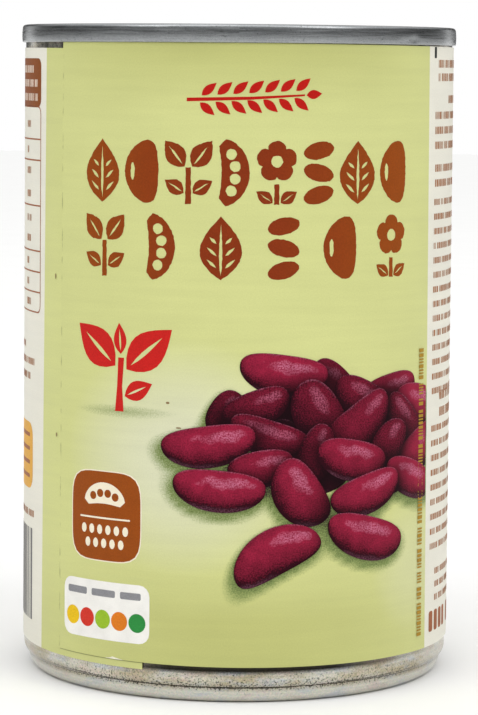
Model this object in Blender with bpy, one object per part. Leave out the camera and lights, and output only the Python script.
"""A shut tinplate can of red kidney beans, with a wrapped paper label and a ring-pull end.

The origin is the centre of the circle that the can stands on, and +Z runs up its axis. The front of the
label faces -Y. Sizes are in millimetres until a mesh is made, which is in metres.
"""

import math

import bmesh
import bpy

MM = 0.001

# Driving sizes of the can, in mm.
CAN_HEIGHT = 112.7
SEAM_RADIUS = 38.1
BODY_RADIUS = 37.0
SEAM_HEIGHT = 3.2
ROUND_STEPS = 72

# The sheet metal and the paper are thicker here than the real ones, so that each stays a sound solid.
END_WALL = 0.5
PAPER = 0.12
GAP = 0.3

# The foot: a flat ring, a rounded edge, and the crease above it.
FOOT_INNER = 33.9
FOOT_OUTER = 34.9
FOOT_EDGE_RADIUS = 36.75
FOOT_EDGE_HEIGHT = 2.35
CREASE_RADIUS = 36.6
CREASE_HEIGHT = 2.65
SHOULDER_HEIGHT = 4.2
SHOULDER_SWELL = 0.3
SHOULDER_ROUND = 1.25
BASE_PANEL_HEIGHT = 3.4
BASE_PANEL_RADIUS = 31.8
BASE_WALL_ROUND = 1.5
FOOT_BEVEL = 0.3
BASE_BEADS = (17.5, 26.5)
BASE_BEAD_RISE = -0.6
BASE_BEAD_HALF_WIDTH = 1.8

# The end that closes the top: a panel with one raised bead, a countersink, and the seam.
PANEL_TOP = CAN_HEIGHT - 3.8
PANEL_BEAD = 28.95
PANEL_BEAD_RISE = 0.5
PANEL_BEAD_HALF_WIDTH = 1.45
COUNTERSINK_RADIUS = 34.3
COUNTERSINK_ROUND = 0.8
COUNTERSINK_CENTRE = PANEL_TOP - 0.4
PANEL_EDGE_ROUND = 0.5
CHUCK_WALL_TOP = SEAM_RADIUS - 1.9
SEAM_ROUND = 0.7
SEAM_FOOT_ROUND = 0.4
END_FOOT = COUNTERSINK_CENTRE - COUNTERSINK_ROUND - END_WALL

# The label: one sheet, wound once round the can and lapped over its own start.
LABEL_RADIUS = 37.65
LABEL_PITCH = 0.18
LABEL_START = math.radians(-52.5)
LABEL_LAP = math.radians(28.4)
LABEL_STEP = math.radians(5.0)
LABEL_FOOT = 6.5
LABEL_DROP = 1.2
LABEL_HEIGHT = 103.3
LABEL_CEILING = CAN_HEIGHT - SEAM_HEIGHT - GAP

# The ring-pull: a flat stamped tab, a round ring at one end and a nose at the other.
TAB_RING = (0.0, 3.0, 11.0)
TAB_NOSE = (0.0, 22.8, 7.6)
TAB_FOOT = PANEL_TOP + 0.85
TAB_THICKNESS = 1.4
TAB_EDGE = 0.45
FINGER_HOLE = (0.0, 2.6, 7.6, 6.6)
FINGER_HOLE_STEPS = 28
RIVET_CENTRE = 22.0
RIVET_SHANK = 1.7
RIVET_HEAD = 2.9
RIVET_RISE = 0.55


def clear_scene():
    """Starts from an empty scene."""
    for found in list(bpy.data.objects):
        bpy.data.objects.remove(found, do_unlink=True)


def finish(name, colour, roughness, metallic):
    """A plain finish for one piece."""
    made = bpy.data.materials.new(name)
    made.use_nodes = True
    shader = made.node_tree.nodes["Principled BSDF"]
    shader.inputs["Base Color"].default_value = (*colour, 1.0)
    shader.inputs["Roughness"].default_value = roughness
    shader.inputs["Metallic"].default_value = metallic
    return made


def place(name, shape, material):
    """Turns a bmesh in millimetres into a named object in metres, shaded smooth between its sharp edges."""
    bmesh.ops.remove_doubles(shape, verts=shape.verts, dist=0.0005)
    bmesh.ops.recalc_face_normals(shape, faces=shape.faces)
    bmesh.ops.scale(shape, vec=(MM, MM, MM), verts=shape.verts)
    mesh = bpy.data.meshes.new(name)
    shape.to_mesh(mesh)
    shape.free()
    mesh.materials.append(material)
    mesh.shade_smooth()
    mesh.set_sharp_from_angle(angle=math.radians(35))
    made = bpy.data.objects.new(name, mesh)
    bpy.context.scene.collection.objects.link(made)
    return made


def arc(centre_r, centre_z, radius_r, radius_z, start_deg, end_deg, steps):
    """Points of an elliptical arc in the profile plane, both ends included."""
    points = []
    for i in range(steps + 1):
        turn = math.radians(start_deg + (end_deg - start_deg) * i / steps)
        points.append((centre_r + radius_r * math.cos(turn), centre_z + radius_z * math.sin(turn)))
    return points


def bead(centre, height, rise, half_width):
    """Points across a round-topped ring pressed up into a panel, or down where its rise is below nought."""
    across = (-1.0, -0.5, 0.0, 0.5, 1.0)
    return [(centre + half_width * s, height + rise * (1 + math.cos(math.pi * s)) / 2) for s in across]


def turned(name, profile, material, centre=(0.0, 0.0), steps=ROUND_STEPS):
    """Spins a closed profile of (radius, height) points round an upright axis."""
    shape = bmesh.new()
    around = [shape.verts.new((radius, 0.0, height)) for radius, height in profile]
    edges = [shape.edges.new((around[i], around[(i + 1) % len(around)])) for i in range(len(around))]
    axis_edge = [e for e in edges if max(v.co.x for v in e.verts) < 1e-6]
    bmesh.ops.delete(shape, geom=axis_edge, context="EDGES_FACES")
    bmesh.ops.spin(
        shape,
        geom=shape.verts[:] + shape.edges[:],
        cent=(0.0, 0.0, 0.0),
        axis=(0.0, 0.0, 1.0),
        angle=math.tau,
        steps=steps,
    )
    bmesh.ops.translate(shape, vec=(centre[0], centre[1], 0.0), verts=shape.verts)
    return place(name, shape, material)


def can_body(tinplate):
    """The wall and base with the beans inside, as one solid: the can is shut and can't be seen into.

    It stops under the end. The last of the wall, which the seam folds up with the end, is in top_end.
    """
    base = [(0.0, BASE_PANEL_HEIGHT)]
    for centre in BASE_BEADS:
        base += bead(centre, BASE_PANEL_HEIGHT, BASE_BEAD_RISE, BASE_BEAD_HALF_WIDTH)
    round_centre = (BASE_PANEL_RADIUS, BASE_PANEL_HEIGHT - BASE_WALL_ROUND)
    base += arc(*round_centre, BASE_WALL_ROUND, BASE_WALL_ROUND, 90, 20, 3)
    base += [(FOOT_INNER - FOOT_BEVEL, FOOT_BEVEL), (FOOT_INNER, 0.0)]
    edge_width = FOOT_EDGE_RADIUS - FOOT_OUTER
    base += arc(FOOT_OUTER, FOOT_EDGE_HEIGHT, edge_width, FOOT_EDGE_HEIGHT, -90, 0, 4)
    base.append((CREASE_RADIUS, CREASE_HEIGHT))
    swell_centre = (CREASE_RADIUS, SHOULDER_HEIGHT)
    swell_width = BODY_RADIUS + SHOULDER_SWELL - CREASE_RADIUS
    base += arc(*swell_centre, swell_width, SHOULDER_ROUND, -60, 0, 3)
    base.append((BODY_RADIUS, SHOULDER_HEIGHT + 3 * SHOULDER_SWELL))
    wall = [(BODY_RADIUS, END_FOOT - GAP), (0.0, END_FOOT - GAP)]
    return turned("can_body", base + wall, tinplate)


def top_end(steel):
    """The end panel, its countersink, and the double seam with the top of the wall folded into it."""
    outside = [(0.0, PANEL_TOP)]
    outside += bead(PANEL_BEAD, PANEL_TOP, PANEL_BEAD_RISE, PANEL_BEAD_HALF_WIDTH)
    panel_edge = COUNTERSINK_RADIUS - COUNTERSINK_ROUND
    edge_centre = (panel_edge - PANEL_EDGE_ROUND, PANEL_TOP - PANEL_EDGE_ROUND)
    outside += arc(*edge_centre, PANEL_EDGE_ROUND, PANEL_EDGE_ROUND, 90, 20, 2)
    outside += arc(COUNTERSINK_RADIUS, COUNTERSINK_CENTRE, COUNTERSINK_ROUND, COUNTERSINK_ROUND, 180, 345, 5)
    seam_top = CAN_HEIGHT - SEAM_ROUND
    outside += arc(CHUCK_WALL_TOP + SEAM_ROUND, seam_top, SEAM_ROUND, SEAM_ROUND, 180, 90, 3)
    outside += arc(SEAM_RADIUS - SEAM_ROUND, seam_top, SEAM_ROUND, SEAM_ROUND, 90, 0, 3)
    seam_foot = CAN_HEIGHT - SEAM_HEIGHT
    foot_centre = (SEAM_RADIUS - SEAM_FOOT_ROUND, seam_foot + SEAM_FOOT_ROUND)
    outside += arc(*foot_centre, SEAM_FOOT_ROUND, SEAM_FOOT_ROUND, 0, -90, 2)
    underside = [(BODY_RADIUS, seam_foot), (BODY_RADIUS, END_FOOT)]
    under_round = COUNTERSINK_ROUND + END_WALL
    underside += arc(COUNTERSINK_RADIUS, COUNTERSINK_CENTRE, under_round, under_round, 270, 180, 3)
    underside.append((0.0, PANEL_TOP - END_WALL))
    return turned("top_end", outside + underside, steel)


def label_edges(turn):
    """Foot and top of the label at an angle counted from its outer edge.

    It was wound on slightly askew, so it sinks as it goes round, and it starts tucked up under the seam.
    """
    foot = LABEL_FOOT - LABEL_DROP * turn / math.tau
    return foot, min(LABEL_CEILING, foot + LABEL_HEIGHT)


def label(paper):
    """The paper wrap: a spiral sheet whose outer edge laps over its own inner edge at the left of the front."""
    shape = bmesh.new()
    total = math.tau + LABEL_LAP
    steps = round(total / LABEL_STEP)
    rings = []
    for i in range(steps + 1):
        turn = total * i / steps
        foot, top = label_edges(turn)
        outer = LABEL_RADIUS - LABEL_PITCH * turn / math.tau
        angle = LABEL_START + turn
        ring = []
        for radius, height in ((outer, foot), (outer, top), (outer - PAPER, top), (outer - PAPER, foot)):
            ring.append(shape.verts.new((radius * math.sin(angle), -radius * math.cos(angle), height)))
        rings.append(ring)
    for near, far in zip(rings, rings[1:]):
        for k in range(4):
            shape.faces.new((near[k], far[k], far[(k + 1) % 4], near[(k + 1) % 4]))
    shape.faces.new(rings[0])
    shape.faces.new(rings[-1])
    return place("label", shape, paper)


def tab_outline(steps=12):
    """Outline of the tab: two arcs of unlike radius and the straight sides that touch both."""
    ring_x, ring_y, ring_radius = TAB_RING
    nose_x, nose_y, nose_radius = TAB_NOSE
    lean = math.asin((ring_radius - nose_radius) / (nose_y - ring_y))
    points = []
    for i in range(steps + 1):
        turn = lean + (math.pi - 2 * lean) * i / steps
        points.append((nose_x + nose_radius * math.cos(turn), nose_y + nose_radius * math.sin(turn)))
    for i in range(2 * steps + 1):
        turn = math.pi - lean + (math.pi + 2 * lean) * i / (2 * steps)
        points.append((ring_x + ring_radius * math.cos(turn), ring_y + ring_radius * math.sin(turn)))
    return points


def plate(outline, foot, thickness, edge=0.0):
    """A flat plate of the given outline, its rims rounded over."""
    shape = bmesh.new()
    face = shape.faces.new([shape.verts.new((x, y, foot)) for x, y in outline])
    raised = bmesh.ops.extrude_face_region(shape, geom=[face])["geom"]
    bmesh.ops.translate(shape, vec=(0.0, 0.0, thickness), verts=[v for v in raised if isinstance(v, bmesh.types.BMVert)])
    if edge:
        rims = [e for e in shape.edges if abs(e.verts[0].co.z - e.verts[1].co.z) < 1e-6]
        bmesh.ops.bevel(shape, geom=rims, offset=edge, segments=2, profile=0.5, affect="EDGES")
    return shape


def cut(piece, cutter):
    """Cuts one piece with another, and keeps the cutter out of the model."""
    cutter.hide_render = True
    cutter.display_type = "WIRE"
    boolean = piece.modifiers.new("cut", "BOOLEAN")
    boolean.operation = "DIFFERENCE"
    boolean.object = cutter
    boolean.solver = "EXACT"


def ellipse(centre_x, centre_y, half_x, half_y, steps):
    """Points round an ellipse."""
    turns = [math.tau * i / steps for i in range(steps)]
    return [(centre_x + half_x * math.cos(t), centre_y + half_y * math.sin(t)) for t in turns]


def pull_tab(steel):
    """The stamped tab, with its finger hole and the hole that the rivet passes through."""
    tab = place("pull_tab", plate(tab_outline(), TAB_FOOT, TAB_THICKNESS, TAB_EDGE), steel)
    through = TAB_THICKNESS + 4.0
    finger = plate(ellipse(*FINGER_HOLE, FINGER_HOLE_STEPS), TAB_FOOT - 2.0, through)
    cut(tab, place("finger_hole_cutter", finger, steel))
    hole_radius = RIVET_SHANK + GAP
    hole = plate(ellipse(0.0, RIVET_CENTRE, hole_radius, hole_radius, 16), TAB_FOOT - 2.0, through)
    cut(tab, place("rivet_hole_cutter", hole, steel))
    return tab


def rivet(steel):
    """The rivet that holds the tab on the panel."""
    head_foot = TAB_FOOT + TAB_THICKNESS + GAP
    profile = [(0.0, PANEL_TOP + GAP), (RIVET_SHANK, PANEL_TOP + GAP), (RIVET_SHANK, head_foot)]
    profile += [(RIVET_HEAD, head_foot)]
    profile += arc(0.0, head_foot + 0.15, RIVET_HEAD, RIVET_RISE - 0.15, 0, 90, 3)[:-1]
    profile += [(0.0, head_foot + RIVET_RISE)]
    return turned("tab_rivet", profile, steel, centre=(0.0, RIVET_CENTRE), steps=16)


def main():
    clear_scene()
    tinplate = finish("tinplate", (0.52, 0.50, 0.45), 0.4, 1.0)
    end_steel = finish("end_steel", (0.32, 0.33, 0.35), 0.35, 1.0)
    paper = finish("label_paper", (0.60, 0.64, 0.26), 0.55, 0.0)
    can_body(tinplate)
    top_end(end_steel)
    label(paper)
    pull_tab(end_steel)
    rivet(end_steel)


main()
